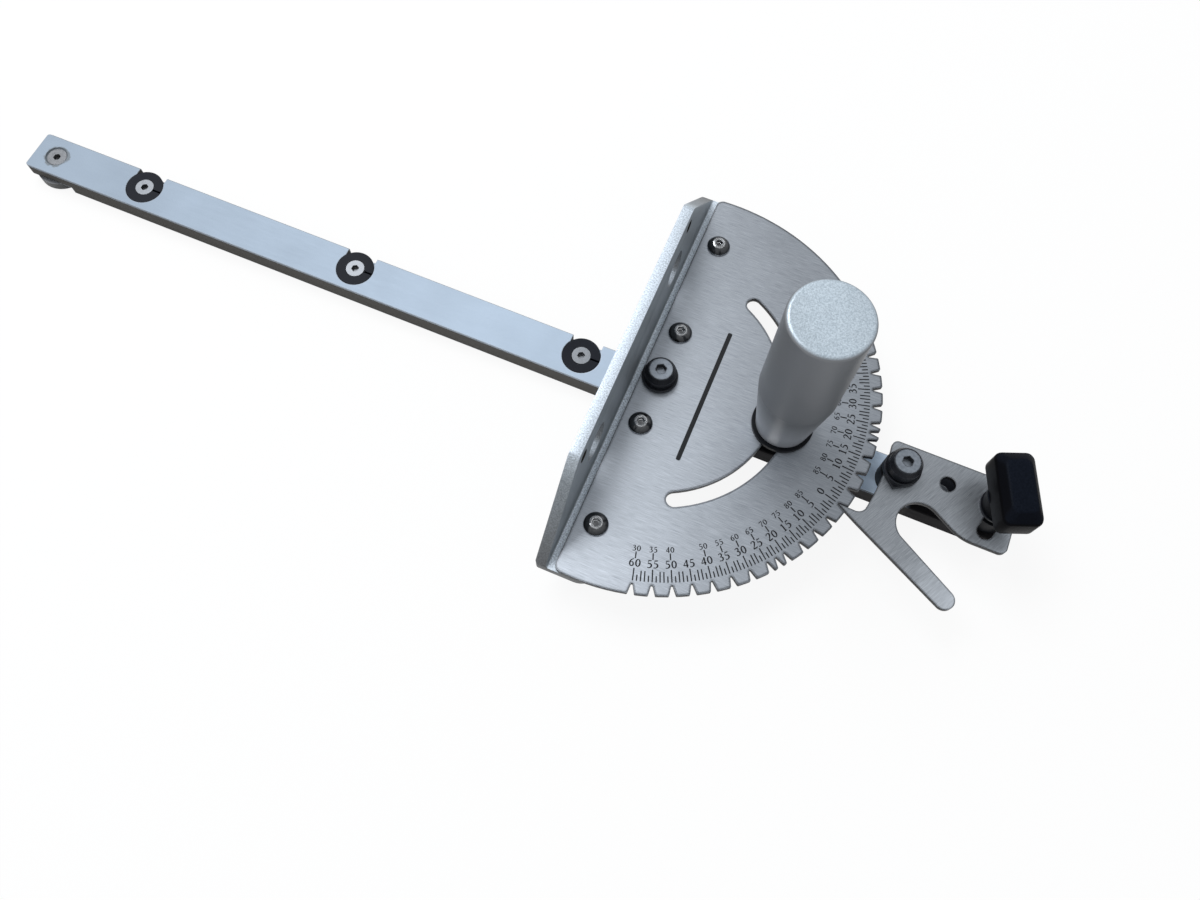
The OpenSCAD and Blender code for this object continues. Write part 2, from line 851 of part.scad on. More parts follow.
module index_lever() {
    slot_in = lever_swing + lock_slot_play;
    color("#b9bec4")
        translate([0, 0, plate_z])
            difference() {
                linear_extrude(plate_t)
                    lever_outline();
                translate([lever_x, 0, -over])
                    cylinder(r = neck_r + neck_gap, h = plate_t + 2 * over);
                translate([disc_x[3], disc_y, -over])
                    cylinder(d = access_d, h = plate_t + 2 * over);
                translate([lever_x, 0, -over])
                    arc_slot(lock_r, lock_slot_w, -slot_in, lock_slot_out, plate_t + 2 * over);
            }
}

module clamp_washer() {
    color(black_plastic)
        translate([slot_r, 0, top_z])
            ring(clamp_washer_d / 2, m6_r + handle_bore_gap, clamp_washer_t);
}

module clamp_handle() {
    handle_r = handle_d / 2;
    foot_r = handle_foot_d / 2;
    body_h = handle_h - clamp_washer_t;
    color(clear_anodised)
        translate([slot_r, 0, top_z + clamp_washer_t])
            difference() {
                rotate_extrude() {
                    polygon([[0, 0], [foot_r - foot_break, 0], [foot_r, foot_break],
                        [handle_r, taper_h], [handle_r, body_h - handle_edge_r],
                        [handle_r - handle_edge_r, body_h - handle_edge_r],
                        [handle_r - handle_edge_r, body_h], [0, body_h]]);
                    intersection() {
                        translate([handle_r - handle_edge_r, body_h - handle_edge_r])
                            circle(r = handle_edge_r);
                        translate([0, body_h - handle_edge_r])
                            square([handle_r, handle_edge_r]);
                    }
                }
                translate([0, 0, -over])
                    cylinder(r = m6_r + handle_bore_gap, h = stud_rise + bore_spare + over);
            }
}

module lock_washer() {
    color(bright_steel)
        translate([lock_x, 0, top_z])
            ring(lock_washer_r, m6_r + handle_bore_gap, lock_washer_t);
}

module lock_insert() {
    color("#b08d57")
        translate([lock_x, 0, top_z + lock_washer_t])
            ring(insert_r, m6_r + handle_bore_gap, insert_h);
}

// Grip: its outline from above, from the side and from the end, intersected
module knob_grip() {
    intersection() {
        translate([0, 0, hub_h])
            linear_extrude(knob_h - hub_h)
                rounded_rect(-knob_len / 2, knob_len / 2, -knob_w / 2, knob_w / 2, knob_corner_r);
        translate([0, knob_w, 0])
            rotate([90, 0, 0])
                linear_extrude(2 * knob_w)
                    knob_profile(knob_len, knob_top_len);
        translate([-knob_len, 0, 0])
            rotate([90, 0, 90])
                linear_extrude(2 * knob_len)
                    knob_profile(knob_w, knob_top_w);
    }
}

// Upright profile of the grip: straight sides, then sloping in to the top face
module knob_profile(wide, narrow) {
    polygon([[-wide / 2, hub_h], [wide / 2, hub_h], [wide / 2, shoulder_h],
        [narrow / 2, knob_h], [-narrow / 2, knob_h], [-wide / 2, shoulder_h]]);
}

module lock_knob() {
    color(black_plastic)
        translate([lock_x, 0, top_z])
            rotate([0, 0, knob_turn])
                difference() {
                    union() {
                        knob_grip();
                        translate([0, 0, lock_washer_t])
                            cylinder(r1 = hub_foot_r, r2 = hub_top_r, h = hub_h - lock_washer_t);
                    }
                    translate([0, 0, -over])
                        cylinder(r = insert_r + insert_gap, h = lock_washer_t + insert_h + over);
                    translate([0, 0, -over])
                        cylinder(r = m6_r + handle_bore_gap, h = lock_stud_rise + 2 * over);
                }
}

miter_bar();
for (i = [0:3]) {
    expansion_disc(i);
    disc_screw(i);
    plate_screw(i);
}
retaining_washer();
retaining_screw();
head_spacer();
head_pivot_bush();
head_pivot_screw();
clamp_spacer();
clamp_stud();
lever_spacer();
lever_pivot_bush();
lever_pivot_screw();
lock_spacer();
lock_stud();
protractor_plate();
fence_bracket();
clamp_handle();
clamp_washer();
index_lever();
lock_knob();
lock_insert();
lock_washer();
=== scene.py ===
import json
import math

import bpy
from mathutils import Matrix, Vector

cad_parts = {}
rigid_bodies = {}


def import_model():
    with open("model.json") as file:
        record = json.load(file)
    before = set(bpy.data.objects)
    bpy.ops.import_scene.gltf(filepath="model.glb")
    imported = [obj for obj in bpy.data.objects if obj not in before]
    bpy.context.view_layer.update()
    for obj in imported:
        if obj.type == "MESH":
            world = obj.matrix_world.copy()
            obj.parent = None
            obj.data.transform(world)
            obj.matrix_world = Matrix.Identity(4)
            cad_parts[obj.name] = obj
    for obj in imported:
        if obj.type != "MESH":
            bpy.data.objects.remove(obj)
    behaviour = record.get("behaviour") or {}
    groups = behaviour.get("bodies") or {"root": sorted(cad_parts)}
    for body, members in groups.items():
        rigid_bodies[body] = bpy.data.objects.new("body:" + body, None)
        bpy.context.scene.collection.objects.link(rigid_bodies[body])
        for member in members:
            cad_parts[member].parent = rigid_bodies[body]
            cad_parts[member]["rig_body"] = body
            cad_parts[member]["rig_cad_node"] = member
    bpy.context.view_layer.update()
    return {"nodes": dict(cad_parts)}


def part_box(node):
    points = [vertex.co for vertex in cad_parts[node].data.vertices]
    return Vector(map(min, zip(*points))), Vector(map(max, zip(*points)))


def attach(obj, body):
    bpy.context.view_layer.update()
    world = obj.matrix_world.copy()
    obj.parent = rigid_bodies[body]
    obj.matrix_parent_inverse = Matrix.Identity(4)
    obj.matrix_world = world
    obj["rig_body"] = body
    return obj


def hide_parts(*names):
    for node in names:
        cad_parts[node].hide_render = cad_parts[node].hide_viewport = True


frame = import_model()
nodes = frame["nodes"]


# Camera
# The camera looks down on the gauge from above its near side, turned so that
# the bar runs up and to the left.
bpy.ops.object.select_all(action="DESELECT")
bpy.ops.object.camera_add(
    location=(0.04080, -0.18182, 0.39799),
    rotation=(math.radians(21.7817), math.radians(-1.2233), math.radians(22.7412)),
)
camera = bpy.context.object
camera.data.sensor_width = 36
camera.data.lens = 30.589
camera.data.clip_start = 0.01
bpy.context.scene.camera = camera
bpy.context.scene.view_settings.view_transform = "Standard"


# Floor and light
# White paper under the gauge, lit by a soft sky and one wide lamp. Seen by the
# camera or in metal, the paper is nearly white and keeps only a faint shadow.
def new_material(name):
    material = bpy.data.materials.new(name)
    material.use_nodes = True
    tree = material.node_tree
    shader = tree.nodes["Principled BSDF"]
    return material, tree, shader


def feed(tree, sockets, given):
    """Links or sets each socket in turn: given holds other sockets and constants."""
    for into, thing in zip(sockets, given):
        if isinstance(thing, bpy.types.NodeSocket):
            tree.links.new(thing, into)
        else:
            into.default_value = thing


def reckon(tree, operation, *given):
    """The result of one step of arithmetic on sockets and constants."""
    step = tree.nodes.new("ShaderNodeMath")
    step.operation = operation
    feed(tree, step.inputs, given)
    return step.outputs[0]


def seen_plainly(tree):
    """1 for light that reaches the camera straight, off a gloss or through glass."""
    path = tree.nodes.new("ShaderNodeLightPath")
    straight = reckon(tree, "MAXIMUM", path.outputs["Is Camera Ray"], path.outputs["Is Glossy Ray"])
    return reckon(tree, "MAXIMUM", straight, path.outputs["Is Transmission Ray"])


paper, tree, shader = new_material("paper")
shader.inputs["Base Color"].default_value = (0.93, 0.93, 0.93, 1)
shader.inputs["Roughness"].default_value = 0.9
shader.inputs["Specular IOR Level"].default_value = 0.1
paper_whiteness = 0.88
white = tree.nodes.new("ShaderNodeEmission")
white.inputs["Strength"].default_value = 1.02
blend = tree.nodes.new("ShaderNodeMixShader")
tree.links.new(reckon(tree, "MULTIPLY", seen_plainly(tree), paper_whiteness), blend.inputs["Fac"])
tree.links.new(shader.outputs["BSDF"], blend.inputs[1])
tree.links.new(white.outputs["Emission"], blend.inputs[2])
tree.links.new(blend.outputs["Shader"], tree.nodes["Material Output"].inputs["Surface"])

bpy.ops.object.select_all(action="DESELECT")
bpy.ops.mesh.primitive_plane_add(size=6, location=(0, 0, 0))
floor = bpy.context.object
floor.name = "floor"
floor.data.materials.append(paper)

world = bpy.data.worlds.new("studio")
bpy.context.scene.world = world
world.use_nodes = True
tree = world.node_tree
sky = tree.nodes["Background"]
sky.inputs["Color"].default_value = (0.93, 0.965, 1.0, 1)
sky.inputs["Strength"].default_value = 0.45
backdrop = tree.nodes.new("ShaderNodeBackground")
backdrop.inputs["Strength"].default_value = 1.0
blend = tree.nodes.new("ShaderNodeMixShader")
tree.links.new(seen_plainly(tree), blend.inputs["Fac"])
tree.links.new(sky.outputs["Background"], blend.inputs[1])
tree.links.new(backdrop.outputs["Background"], blend.inputs[2])
tree.links.new(blend.outputs["Shader"], tree.nodes["World Output"].inputs["Surface"])

bpy.ops.object.select_all(action="DESELECT")
bpy.ops.object.light_add(type="AREA", location=(-0.95, 0.45, 1.60))
lamp = bpy.context.object
lamp.data.shape = "RECTANGLE"
lamp.data.size = 1.3
lamp.data.size_y = 0.9
lamp.data.energy = 22.0
aim = Vector((0, 0, 0.02)) - lamp.location
lamp.rotation_euler = aim.to_track_quat("-Z", "Y").to_euler()


# Bar
# A flat bar of plain steel with a pale, matt zinc plate. It is drawn and sawn
# to length, so its grain runs along it; its long sides are painted dark as painted shade
# and its edges pale as painted highlights.
def new_group(name, takes, gives):
    """A node group with named sockets, its input node and its output node."""
    group = bpy.data.node_groups.new(name, "ShaderNodeTree")
    for side, wanted in (("INPUT", takes), ("OUTPUT", gives)):
        for socket_name, kind in wanted:
            group.interface.new_socket(name=socket_name, in_out=side, socket_type=f"NodeSocket{kind}")
    return group, group.nodes.new("NodeGroupInput"), group.nodes.new("NodeGroupOutput")


def put_group(tree, group, **values):
    placed = tree.nodes.new("ShaderNodeGroup")
    placed.node_tree = group
    for name, value in values.items():
        placed.inputs[name].default_value = value
    return placed


def vector_step(tree, operation, result, *given):
    """One step of vector arithmetic; result names the socket that holds its answer."""
    step = tree.nodes.new("ShaderNodeVectorMath")
    step.operation = operation
    feed(tree, step.inputs, given)
    return step.outputs[result]


def scaled(tree, colour, share):
    """The colour made darker or paler by a share."""
    step = tree.nodes.new("ShaderNodeVectorMath")
    step.operation = "SCALE"
    feed(tree, (step.inputs[0], step.inputs["Scale"]), (colour, share))
    return step.outputs[0]


def mix_colour(tree, share, first, second):
    mixed = tree.nodes.new("ShaderNodeMix")
    mixed.data_type = "RGBA"
    wanted = (("Factor", "VALUE"), ("A", "RGBA"), ("B", "RGBA"))
    sockets = [next(s for s in mixed.inputs if (s.name, s.type) == pair) for pair in wanted]
    feed(tree, sockets, (share, first, second))
    return next(s for s in mixed.outputs if s.type == "RGBA")


def map_value(tree, source, low, high, from_low=0.0, from_high=1.0):
    """The source's range from_low to from_high, spread over low to high."""
    mapped = tree.nodes.new("ShaderNodeMapRange")
    mapped.inputs["From Min"].default_value = from_low
    mapped.inputs["From Max"].default_value = from_high
    mapped.inputs["To Min"].default_value = low
    mapped.inputs["To Max"].default_value = high
    tree.links.new(source, mapped.inputs["Value"])
    return mapped.outputs["Result"]


def split_xyz(tree, source):
    apart = tree.nodes.new("ShaderNodeSeparateXYZ")
    tree.links.new(source, apart.inputs[0])
    return apart.outputs


def add_bump(tree, shader, height, distance, strength, base):
    bump = tree.nodes.new("ShaderNodeBump")
    bump.inputs["Distance"].default_value = distance
    bump.inputs["Strength"].default_value = strength
    tree.links.new(height, bump.inputs["Height"])
    tree.links.new(base, bump.inputs["Normal"])
    tree.links.new(bump.outputs["Normal"], shader.inputs["Normal"])


def make_grain():
    """Drawn lines, as fine as Stretch says along each axis, and soft clouds."""
    group, ins, outs = new_group(
        "metal_grain", takes=[("Place", "Vector"), ("Stretch", "Vector")],
        gives=[("Lines", "Float"), ("Cloud", "Float")])
    lines = group.nodes.new("ShaderNodeTexNoise")
    lines.inputs["Scale"].default_value = 1.0
    lines.inputs["Detail"].default_value = 4.0
    lines.inputs["Roughness"].default_value = 0.65
    drawn = vector_step(group, "MULTIPLY", "Vector", ins.outputs["Place"], ins.outputs["Stretch"])
    group.links.new(drawn, lines.inputs["Vector"])
    cloud = group.nodes.new("ShaderNodeTexNoise")
    cloud.inputs["Scale"].default_value = 32.0
    cloud.inputs["Detail"].default_value = 3.0
    group.links.new(ins.outputs["Place"], cloud.inputs["Vector"])
    group.links.new(lines.outputs["Fac"], outs.inputs["Lines"])
    group.links.new(cloud.outputs["Fac"], outs.inputs["Cloud"])
    return group


def make_edges():
    """Masks for faces that don't look up or down and for edges up to Width away,
    and the normal with those edges eased."""
    group, ins, outs = new_group(
        "sides_and_edges", takes=[("Width", "Float")],
        gives=[("Side", "Float"), ("Edge", "Float"), ("Eased", "Vector")])
    flat_from, side_from = 0.96, 0.55
    straight_from, turned_from = 0.995, 0.965
    shape = group.nodes.new("ShaderNodeNewGeometry")
    normal = shape.outputs["True Normal"]
    upright = reckon(group, "ABSOLUTE", split_xyz(group, normal)["Z"])
    side = map_value(group, upright, 0.0, 1.0, flat_from, side_from)
    eased = group.nodes.new("ShaderNodeBevel")
    eased.samples = 4
    group.links.new(ins.outputs["Width"], eased.inputs["Radius"])
    turned = vector_step(group, "DOT_PRODUCT", "Value", eased.outputs["Normal"], normal)
    edge = map_value(group, turned, 0.0, 1.0, straight_from, turned_from)
    group.links.new(side, outs.inputs["Side"])
    group.links.new(edge, outs.inputs["Edge"])
    group.links.new(eased.outputs["Normal"], outs.inputs["Eased"])
    return group


grain = make_grain()
edges = make_edges()


def grained_metal(name, pale, dark, side, edge, stretch, metallic, rough, edge_width, turn=0.0,
                  side_metal=0.0, painted_light_drift=None):
    """Metal with drawn or brushed lines, and another colour on sides and on edges, which paints
    shade or highlights there as well as wear; if painted_light_drift gives a direction, two distances
    and two shares, a slow change of tone paints light and shade."""
    line_depth = 0.00002
    material, tree, shader = new_material(name)
    place = tree.nodes.new("ShaderNodeTexCoord").outputs["Object"]
    turned = tree.nodes.new("ShaderNodeMapping")
    turned.inputs["Rotation"].default_value = (0, 0, turn)
    tree.links.new(place, turned.inputs["Vector"])
    lines = put_group(tree, grain, Stretch=stretch)
    tree.links.new(turned.outputs["Vector"], lines.inputs["Place"])
    around = put_group(tree, edges, Width=edge_width)
    tone = map_value(tree, lines.outputs["Lines"], 0.0, 1.0, 0.3, 0.7)
    colour = mix_colour(tree, tone, (*dark, 1), (*pale, 1))
    cloud = map_value(tree, lines.outputs["Cloud"], 0.94, 1.05, 0.3, 0.7)
    if painted_light_drift is not None:
        direction, near, far, near_share, far_share = painted_light_drift
        along = vector_step(tree, "DOT_PRODUCT", "Value", place, direction)
        tone_there = map_value(tree, along, near_share, far_share, near, far)
        cloud = reckon(tree, "MULTIPLY", cloud, tone_there)
    colour = scaled(tree, colour, cloud)
    colour = mix_colour(tree, around.outputs["Side"], colour, (*side, 1))
    colour = mix_colour(tree, around.outputs["Edge"], colour, (*edge, 1))
    tree.links.new(colour, shader.inputs["Base Color"])
    metal = map_value(tree, around.outputs["Side"], metallic, side_metal)
    tree.links.new(metal, shader.inputs["Metallic"])
    shader.inputs["Specular IOR Level"].default_value = 0.2
    roughness = map_value(tree, lines.outputs["Lines"], rough - 0.06, rough + 0.08, 0.3, 0.7)
    tree.links.new(roughness, shader.inputs["Roughness"])
    add_bump(tree, shader, lines.outputs["Lines"], line_depth, 0.6, around.outputs["Eased"])
    return material


def finish_node(node, material):
    nodes[node].data.materials.clear()
    nodes[node].data.materials.append(material)


bar_edge_width = 0.0006
# The bar's sides are painted dark as painted shade and its edges pale as painted highlights.
bar_metal = grained_metal(
    "bar_metal", pale=(0.44, 0.53, 0.64), dark=(0.41, 0.495, 0.60), side=(0.098, 0.093, 0.086),
    edge=(0.55, 0.61, 0.69), stretch=(90, 900, 900), metallic=0.15, rough=0.55, edge_width=bar_edge_width,
)

# The bar's top is painted darker toward the front end and paler toward the head as painted
# light, and it is scuffed to bare grey round the countersink at the front end. Under the head
# and the lever its top and sides are painted near black as painted shade, and the top is painted
# palest in the gap between them as painted light. The ramp's positions are shares of the covered
# length, which starts at the middle of the head.
tree = bar_metal.node_tree
shader = tree.nodes["Principled BSDF"]
shader.inputs["Specular IOR Level"].default_value = 0.04
plain_colour = shader.inputs["Base Color"].links[0].from_socket
place = tree.nodes.new("ShaderNodeTexCoord").outputs["Object"]
apart = split_xyz(tree, place)
front_end, head_middle, covered_length = -0.30, 0.0, 0.16
# Painted light: the top grows paler from the front end toward the head.
painted_light_along = map_value(tree, apart["X"], 0.79, 1.26, front_end, 0.02)
# Painted light in the gap between the plate and the lever.
painted_light_in_gap = map_value(tree, apart["X"], 1.0, 1.25, 0.06, 0.085)
top_colour = scaled(tree, plain_colour, reckon(tree, "MULTIPLY", painted_light_along, painted_light_in_gap))
# Painted shade under the head and the lever.
painted_shade_under = tree.nodes.new("ShaderNodeValToRGB")
along = map_value(tree, apart["X"], 0.0, 1.0, head_middle, head_middle + covered_length)
tree.links.new(along, painted_shade_under.inputs["Fac"])
ramp = painted_shade_under.color_ramp
ramp.interpolation = "EASE"
ramp.elements[0].position = 0.05
ramp.elements[0].color = (0, 0, 0, 1)
ramp.elements[1].position = 0.20
ramp.elements[1].color = (1, 1, 1, 1)
for position, level in ((0.53, 1), (0.555, 0), (0.675, 0), (0.71, 1)):
    ramp.elements.new(position).color = (level, level, level, 1)
around = put_group(tree, edges, Width=bar_edge_width)
# Painted shade on the sides under the head.
side_share = map_value(tree, apart["X"], 0.0, 0.85, head_middle, head_middle + 0.02)
painted_shade_sides = reckon(tree, "MULTIPLY", around.outputs["Side"], side_share)
unlit = reckon(tree, "MAXIMUM", painted_shade_under.outputs["Color"], painted_shade_sides)
with_painted_shade = mix_colour(tree, unlit, top_colour, (0.016, 0.015, 0.016, 1))
screw_low, screw_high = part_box("retaining_screw")
screw_middle = (screw_low + screw_high) / 2
scuff_inner, scuff_outer, raggedness = 0.0078, 0.0084, 0.0045
flat_place = vector_step(tree, "MULTIPLY", "Vector", place, (1.0, 1.0, 0.0))
from_screw = vector_step(tree, "DISTANCE", "Value", flat_place, (screw_middle.x, screw_middle.y, 0))
torn = tree.nodes.new("ShaderNodeTexNoise")
torn.inputs["Scale"].default_value = 260.0
tree.links.new(place, torn.inputs["Vector"])
ragged = reckon(tree, "MULTIPLY_ADD", torn.outputs["Fac"], raggedness, from_screw)
scuffed = map_value(tree, ragged, 1.0, 0.0, scuff_inner, scuff_outer)
bare = mix_colour(tree, scuffed, with_painted_shade, (0.22, 0.25, 0.28, 1))
tree.links.new(bare, shader.inputs["Base Color"])
finish_node("miter_bar", bar_metal)


# Discs and their screws
# Split discs of black moulded plastic in pockets of the bar. A countersunk screw of
# zinc plated steel spreads each one against the slot as it is turned down into it.
def make_speckle():
    """Fine grit, as fine as Size says, and soft clouds."""
    group, ins, outs = new_group(
        "fine_speckle", takes=[("Place", "Vector"), ("Size", "Float")],
        gives=[("Speckle", "Float"), ("Cloud", "Float")])
    fine = group.nodes.new("ShaderNodeTexNoise")
    fine.inputs["Detail"].default_value = 3.0
    fine.inputs["Roughness"].default_value = 0.7
    group.links.new(ins.outputs["Place"], fine.inputs["Vector"])
    group.links.new(ins.outputs["Size"], fine.inputs["Scale"])
    cloud = group.nodes.new("ShaderNodeTexNoise")
    cloud.inputs["Scale"].default_value = 45.0
    group.links.new(ins.outputs["Place"], cloud.inputs["Vector"])
    group.links.new(fine.outputs["Fac"], outs.inputs["Speckle"])
    group.links.new(cloud.outputs["Fac"], outs.inputs["Cloud"])
    return group


speckle = make_speckle()


def speckled(name, pale, dark, edge, size, metallic, rough, edge_width, bump, gloss,
             edge_share=1.0, side=None):
    """Blasted metal or moulded plastic: fine speckle, soft clouds, sides painted darker as painted
    shade where side is given, and lighter edges that are partly wear and partly painted highlights.
    """
    material, tree, shader = new_material(name)
    place = tree.nodes.new("ShaderNodeTexCoord").outputs["Object"]
    grit = put_group(tree, speckle, Size=size)
    tree.links.new(place, grit.inputs["Place"])
    around = put_group(tree, edges, Width=edge_width)
    tone = map_value(tree, grit.outputs["Speckle"], 0.0, 1.0, 0.35, 0.65)
    colour = mix_colour(tree, tone, (*dark, 1), (*pale, 1))
    cloud = map_value(tree, grit.outputs["Cloud"], 0.92, 1.06, 0.3, 0.7)
    colour = scaled(tree, colour, cloud)
    if side is not None:
        colour = mix_colour(tree, around.outputs["Side"], colour, (*side, 1))
    wear_and_highlight = map_value(tree, around.outputs["Edge"], 0.0, edge_share)
    colour = mix_colour(tree, wear_and_highlight, colour, (*edge, 1))
    tree.links.new(colour, shader.inputs["Base Color"])
    shader.inputs["Metallic"].default_value = metallic
    shader.inputs["Specular IOR Level"].default_value = gloss
    roughness = map_value(tree, grit.outputs["Cloud"], rough - 0.05, rough + 0.08, 0.3, 0.7)
    tree.links.new(roughness, shader.inputs["Roughness"])
    add_bump(tree, shader, grit.outputs["Speckle"], bump, 0.7, around.outputs["Eased"])
    return material


disc_plastic = speckled(
    "disc_plastic", pale=(0.013, 0.016, 0.024), dark=(0.007, 0.009, 0.014), edge=(0.03, 0.034, 0.045),
    size=2200, metallic=0.0, rough=0.5, edge_width=0.0002, bump=0.00003, gloss=0.10,
)
plated_screw = grained_metal(
    "plated_screw", pale=(0.19, 0.205, 0.225), dark=(0.125, 0.135, 0.15), side=(0.06, 0.065, 0.07),
    edge=(0.42, 0.44, 0.47), stretch=(900, 900, 900), metallic=0.75, rough=0.34, edge_width=0.0002,
)
for i in (1, 2, 3, 4):
    finish_node(f"expansion_disc_{i}", disc_plastic)
    finish_node(f"disc_screw_{i}", plated_screw)


# Retaining washer and screw
# A turned steel washer under the front end keeps the bar down in a T slot. Its
# countersunk screw of plain worn steel goes through the bar from above.
worn_steel = grained_metal(
    "worn_steel", pale=(0.19, 0.20, 0.215), dark=(0.11, 0.115, 0.125), side=(0.085, 0.085, 0.085),
    edge=(0.30, 0.31, 0.33), stretch=(700, 700, 700), metallic=0.6, rough=0.42, edge_width=0.0004,
)
finish_node("retaining_washer", worn_steel)
finish_node("retaining_screw", worn_steel)


# Spacers and studs
# Moulded plastic spacers hold the plates above the bar. Plain turned studs
# come up through them for the handle and the lock knob.
spacer_plastic = speckled(
    "spacer_plastic", pale=(0.010, 0.011, 0.014), dark=(0.005, 0.006, 0.008), edge=(0.02, 0.022, 0.026),
    size=1600, metallic=0.0, rough=0.42, edge_width=0.0002, bump=0.00003, gloss=0.10,
)
stud_steel = grained_metal(
    "stud_steel", pale=(0.42, 0.43, 0.45), dark=(0.30, 0.31, 0.33), side=(0.34, 0.35, 0.37),
    edge=(0.6, 0.62, 0.64), stretch=(500, 500, 3000), metallic=0.8, rough=0.35, edge_width=0.0003,
)
for node in ("head_spacer", "clamp_spacer", "lever_spacer", "lock_spacer"):
    finish_node(node, spacer_plastic)
finish_node("clamp_stud", stud_steel)
finish_node("lock_stud", stud_steel)


# Pivot bushes and screws
# Turned steel bushes, blacked and a little glossy, with a groove under the
# crown. A plain steel screw with a hexagon socket is sunk in each crown.
def make_rings():
    """Rings round the turning axis, as close as Pitch says."""
    group, ins, outs = new_group(
        "turned_rings", takes=[("Place", "Vector"), ("Pitch", "Float")], gives=[("Rings", "Float")])
    rings = group.nodes.new("ShaderNodeTexWave")
    rings.wave_type = "BANDS"
    rings.bands_direction = "Z"
    rings.inputs["Distortion"].default_value = 0.4
    group.links.new(ins.outputs["Place"], rings.inputs["Vector"])
    group.links.new(ins.outputs["Pitch"], rings.inputs["Scale"])
    group.links.new(rings.outputs["Fac"], outs.inputs["Rings"])
    return group


rings = make_rings()
blacked, tree, shader = new_material("blacked_steel")
place = tree.nodes.new("ShaderNodeTexCoord").outputs["Object"]
turned = put_group(tree, rings, Pitch=5200.0)
tree.links.new(place, turned.inputs["Place"])
grit = put_group(tree, speckle, Size=900.0)
tree.links.new(place, grit.inputs["Place"])
around = put_group(tree, edges, Width=0.0004)
colour = mix_colour(tree, grit.outputs["Speckle"], (0.007, 0.008, 0.011, 1), (0.018, 0.020, 0.027, 1))
colour = mix_colour(tree, around.outputs["Edge"], colour, (0.05, 0.055, 0.065, 1))
tree.links.new(colour, shader.inputs["Base Color"])
shader.inputs["Metallic"].default_value = 0.30
shader.inputs["Specular IOR Level"].default_value = 0.2
roughness = map_value(tree, grit.outputs["Cloud"], 0.26, 0.38, 0.3, 0.7)
tree.links.new(roughness, shader.inputs["Roughness"])
add_bump(tree, shader, turned.outputs["Rings"], 0.00002, 0.5, around.outputs["Eased"])

crown_steel = grained_metal(
    "crown_steel", pale=(0.27, 0.305, 0.35), dark=(0.18, 0.205, 0.24), side=(0.02, 0.02, 0.023),
    edge=(0.022, 0.024, 0.028), stretch=(800, 800, 800), metallic=0.8, rough=0.36, edge_width=0.0006,
)
for node in ("head_pivot", "lever_pivot"):
    finish_node(node + "_bush", blacked)
    finish_node(node + "_screw", crown_steel)


# Protractor plate
# A half round plate of 2 mm stainless steel, laser cut with V notches round its
# rim and brushed along the bar. The scale is marked black by the laser.
# The plate's walls and a band along its edges are painted near black as painted shade, and its tone
# grows paler toward -X and -Y as painted light.
brushed_plate = grained_metal(
    "brushed_plate", pale=(0.46, 0.50, 0.555), dark=(0.235, 0.26, 0.295), side=(0.006, 0.006, 0.007),
    edge=(0.018, 0.018, 0.020), stretch=(150, 7000, 7000), metallic=0.75, rough=0.38, edge_width=0.0015,
    painted_light_drift=((-1.0, -0.45, 0.0), -0.065, 0.030, 0.78, 1.23),
)
finish_node("protractor_plate", brushed_plate)


# Scale
# Degree lines, two rows of numbers and one ruled line, burnt black into the plate: a
# skin a few hundredths of a millimetre thick, with its zero at the index lever's tooth.
plate_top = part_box("protractor_plate")[1].z
mark_low = plate_top - 0.00002
mark_high = plate_top + 0.00003
index_turn = math.radians(-15.43)

burnt, tree, shader = new_material("burnt_black")
grit = put_group(tree, speckle, Size=4200.0)
tree.links.new(tree.nodes.new("ShaderNodeTexCoord").outputs["Object"], grit.inputs["Place"])
colour = mix_colour(tree, grit.outputs["Speckle"], (0.006, 0.007, 0.008, 1), (0.028, 0.030, 0.034, 1))
tree.links.new(colour, shader.inputs["Base Color"])
shader.inputs["Specular IOR Level"].default_value = 0.25
roughness = map_value(tree, grit.outputs["Speckle"], 0.6, 0.8)
tree.links.new(roughness, shader.inputs["Roughness"])


def flat_mark(name, length, width):
    """A thin flat bar with eased ends, lying along X from the origin outward."""
    bpy.ops.object.select_all(action="DESELECT")
    bpy.ops.mesh.primitive_plane_add(size=1, location=(0, 0, 0))
    mark = bpy.context.object
    mark.name = name
    bpy.ops.object.mode_set(mode="EDIT")
    bpy.ops.transform.resize(value=(length, width, 1))
    bpy.ops.transform.translate(value=(length / 2, 0, mark_low))
    bpy.ops.mesh.bevel(offset=width * 0.3, segments=2, affect="VERTICES")
    bpy.ops.mesh.extrude_region_move(TRANSFORM_OT_translate={"value": (0, 0, mark_high - mark_low)})
    bpy.ops.mesh.select_all(action="SELECT")
    bpy.ops.mesh.normals_make_consistent(inside=False)
    bpy.ops.object.mode_set(mode="OBJECT")
    return mark


def copied(piece, place):
    """Another of the piece, with its own mesh, moved to its place."""
    twin = piece.copy()
    twin.data = piece.data.copy()
    bpy.context.collection.objects.link(twin)
    twin.data.transform(place)
    return twin


def joined(pieces, name):
    bpy.ops.object.select_all(action="DESELECT")
    for piece in pieces:
        piece.select_set(True)
    bpy.context.view_layer.objects.active = pieces[0]
    bpy.ops.object.join()
    whole = bpy.context.object
    whole.name = name
    return whole


